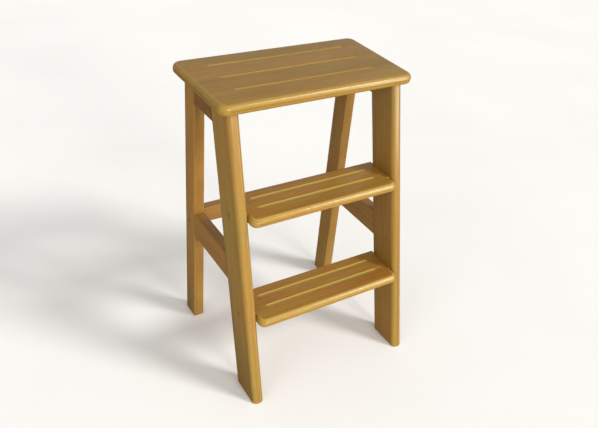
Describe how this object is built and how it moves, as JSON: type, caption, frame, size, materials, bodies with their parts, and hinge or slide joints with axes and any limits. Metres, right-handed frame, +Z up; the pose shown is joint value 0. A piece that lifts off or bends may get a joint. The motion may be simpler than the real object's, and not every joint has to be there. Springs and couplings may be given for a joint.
{
  "type": "step stool",
  "caption": "Rigid wooden step stool with treads between leaning front stiles, a grooved top board, upright rear legs, side stretchers and a rear crossbar.",
  "frame": {"origin": "on the floor, under the middle of the stool's overall box", "axes": "+X to the stool's right as seen by the person facing its treads, +Y from the treads towards the rear legs, +Z up"},
  "size_m": [0.44, 0.3787, 0.63],
  "materials": {
    "seat_wood": "satin lacquer",
    "tread_wood": "satin lacquer",
    "stile_wood": "satin lacquer",
    "leg_wood": "satin lacquer",
    "rail_wood": "satin lacquer",
    "plug_wood": "satin lacquer",
    "dowel_wood": "bare wood",
    "screw_steel": "zinc plated"
  },
  "bodies": {
    "root": {"front_stile_left": "stile_wood", "front_stile_right": "stile_wood", "rear_crossbar": "leg_wood", "rear_crossbar_dowel_left": "dowel_wood", "rear_crossbar_dowel_right": "dowel_wood", "rear_crossbar_plug_left": "plug_wood", "rear_crossbar_plug_right": "plug_wood", "rear_crossbar_screw_left": "screw_steel", "rear_crossbar_screw_right": "screw_steel", "rear_leg_left": "leg_wood", "rear_leg_right": "leg_wood", "seat_board": "seat_wood", "seat_dowel_front_stile_left": "dowel_wood", "seat_dowel_front_stile_right": "dowel_wood", "seat_dowel_rear_leg_left": "dowel_wood", "seat_dowel_rear_leg_right": "dowel_wood", "seat_screw_back_left": "screw_steel", "seat_screw_back_right": "screw_steel", "seat_screw_front_left": "screw_steel", "seat_screw_front_right": "screw_steel", "side_stretcher_left": "rail_wood", "side_stretcher_left_back_dowel_high": "dowel_wood", "side_stretcher_left_back_dowel_low": "dowel_wood", "side_stretcher_left_front_dowel_high": "dowel_wood", "side_stretcher_left_front_dowel_low": "dowel_wood", "side_stretcher_right": "rail_wood", "side_stretcher_right_back_dowel_high": "dowel_wood", "side_stretcher_right_back_dowel_low": "dowel_wood", "side_stretcher_right_front_dowel_high": "dowel_wood", "side_stretcher_right_front_dowel_low": "dowel_wood", "top_rail_left": "rail_wood", "top_rail_left_back_dowel_high": "dowel_wood", "top_rail_left_back_dowel_low": "dowel_wood", "top_rail_left_front_dowel_high": "dowel_wood", "top_rail_left_front_dowel_low": "dowel_wood", "top_rail_right": "rail_wood", "top_rail_right_back_dowel_high": "dowel_wood", "top_rail_right_back_dowel_low": "dowel_wood", "top_rail_right_front_dowel_high": "dowel_wood", "top_rail_right_front_dowel_low": "dowel_wood", "tread_lower": "tread_wood", "tread_lower_dowel_left": "dowel_wood", "tread_lower_dowel_right": "dowel_wood", "tread_lower_plug_left": "plug_wood", "tread_lower_plug_right": "plug_wood", "tread_lower_screw_left": "screw_steel", "tread_lower_screw_right": "screw_steel", "tread_middle": "tread_wood", "tread_middle_dowel_left": "dowel_wood", "tread_middle_dowel_right": "dowel_wood", "tread_middle_plug_left": "plug_wood", "tread_middle_plug_right": "plug_wood", "tread_middle_screw_left": "screw_steel", "tread_middle_screw_right": "screw_steel"}
  },
  "joints": []
}
